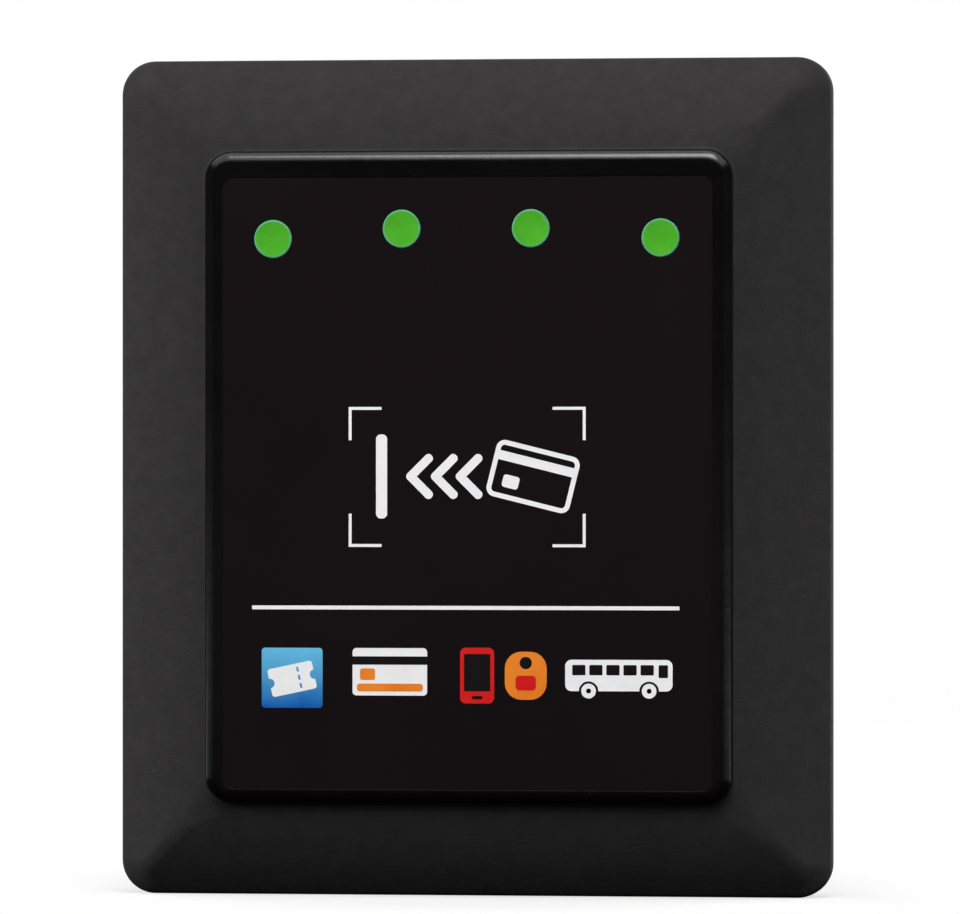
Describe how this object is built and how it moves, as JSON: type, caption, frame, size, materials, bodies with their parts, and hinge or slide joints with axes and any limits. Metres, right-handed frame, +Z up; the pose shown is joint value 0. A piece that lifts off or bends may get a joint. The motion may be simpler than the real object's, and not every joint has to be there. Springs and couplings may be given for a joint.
{
  "type": "contactless ticket validator",
  "caption": "Flush panel-mount contactless ticket reader head: convex black bezel, raised label plateau with round green status lights, sealed rear housing, studs and plug socket.",
  "frame": {"origin": "centre of the four studs in the plane of the panel's front face, which the gasket rests on", "axes": "+X to the right seen from the front, +Z up, +Y from the front into the panel"},
  "size_m": [0.0736, 0.0266, 0.086],
  "materials": {
    "bezel_plastic": "black moulded, fine spark texture, satin on the plateau",
    "label_film": "black printed film with white and coloured print",
    "tape": "thin adhesive sheet",
    "light_green": "green diffusing light pipe, lit",
    "led_white": "small light with a clear lens",
    "inner_plastic": "black moulded",
    "circuit_board": "green solder mask",
    "copper": "copper track",
    "ferrite": "dark grey ferrite",
    "zinc_steel": "clear zinc plated",
    "tinned_steel": "tinned sheet",
    "chip_resin": "black resin with tinned leads",
    "capacitor_can": "drawn can on a black base",
    "card_plastic": "white card",
    "connector_plastic": "black moulded",
    "gold_plate": "gold plated",
    "seal_rubber": "silicone rubber",
    "housing_plastic": "black moulded, fine texture",
    "gasket_foam": "closed-cell foam rubber"
  },
  "bodies": {
    "reader": {"front_bezel": "bezel_plastic", "graphic_overlay": "label_film", "overlay_tape": "tape", "light_shield": "inner_plastic", "antenna_board": "circuit_board", "antenna_coil": "copper", "ferrite_sheet": "ferrite", "antenna_screws": "zinc_steel", "board_plug": "inner_plastic", "board_socket": "inner_plastic", "main_board": "circuit_board", "main_board_screws": "zinc_steel", "shield_can": "tinned_steel", "reader_chip": "chip_resin", "crystal": "tinned_steel", "controller_chip": "chip_resin", "buzzer": "inner_plastic", "capacitors": "capacitor_can", "power_inductor": "ferrite", "sam_socket": "inner_plastic", "sam_card": "card_plastic", "host_connector": "connector_plastic", "connector_pins": "gold_plate", "connector_seal": "seal_rubber", "rear_housing": "housing_plastic", "housing_screws": "zinc_steel", "housing_seal": "seal_rubber", "panel_gasket": "gasket_foam", "mounting_studs": "zinc_steel", "light_pipe_1": "light_green", "led_1": "led_white", "light_pipe_2": "light_green", "led_2": "led_white", "light_pipe_3": "light_green", "led_3": "led_white", "light_pipe_4": "light_green", "led_4": "led_white"},
    "washer_1": {"washer_1": "zinc_steel"},
    "nut_1": {"nut_1": "zinc_steel"},
    "washer_2": {"washer_2": "zinc_steel"},
    "nut_2": {"nut_2": "zinc_steel"},
    "washer_3": {"washer_3": "zinc_steel"},
    "nut_3": {"nut_3": "zinc_steel"},
    "washer_4": {"washer_4": "zinc_steel"},
    "nut_4": {"nut_4": "zinc_steel"}
  },
  "joints": [
    {"name": "washer_1_travel", "type": "slide", "parent": "reader", "child": "washer_1", "axis": [0, 1, 0], "range_m": [-0.00075, 0.00675]},
    {"name": "nut_1_turn", "type": "hinge", "parent": "washer_1", "child": "nut_1", "pos_m": [-0.032, 0.0026, 0.038], "axis": [0, 1, 0], "range_deg": [-541, 4861]},
    {"name": "washer_2_travel", "type": "slide", "parent": "reader", "child": "washer_2", "axis": [0, 1, 0], "range_m": [-0.00075, 0.00675]},
    {"name": "nut_2_turn", "type": "hinge", "parent": "washer_2", "child": "nut_2", "pos_m": [0.032, 0.0026, 0.038], "axis": [0, 1, 0], "range_deg": [-541, 4861]},
    {"name": "washer_3_travel", "type": "slide", "parent": "reader", "child": "washer_3", "axis": [0, 1, 0], "range_m": [-0.00075, 0.00675]},
    {"name": "nut_3_turn", "type": "hinge", "parent": "washer_3", "child": "nut_3", "pos_m": [0.032, 0.0026, -0.038], "axis": [0, 1, 0], "range_deg": [-541, 4861]},
    {"name": "washer_4_travel", "type": "slide", "parent": "reader", "child": "washer_4", "axis": [0, 1, 0], "range_m": [-0.00075, 0.00675]},
    {"name": "nut_4_turn", "type": "hinge", "parent": "washer_4", "child": "nut_4", "pos_m": [-0.032, 0.0026, -0.038], "axis": [0, 1, 0], "range_deg": [-541, 4861]}
  ],
  "couplings": [
    {"joint": "nut_1_turn", "follows": "washer_1_travel", "rad_per_m": 12566},
    {"joint": "nut_2_turn", "follows": "washer_2_travel", "rad_per_m": 12566},
    {"joint": "nut_3_turn", "follows": "washer_3_travel", "rad_per_m": 12566},
    {"joint": "nut_4_turn", "follows": "washer_4_travel", "rad_per_m": 12566}
  ]
}
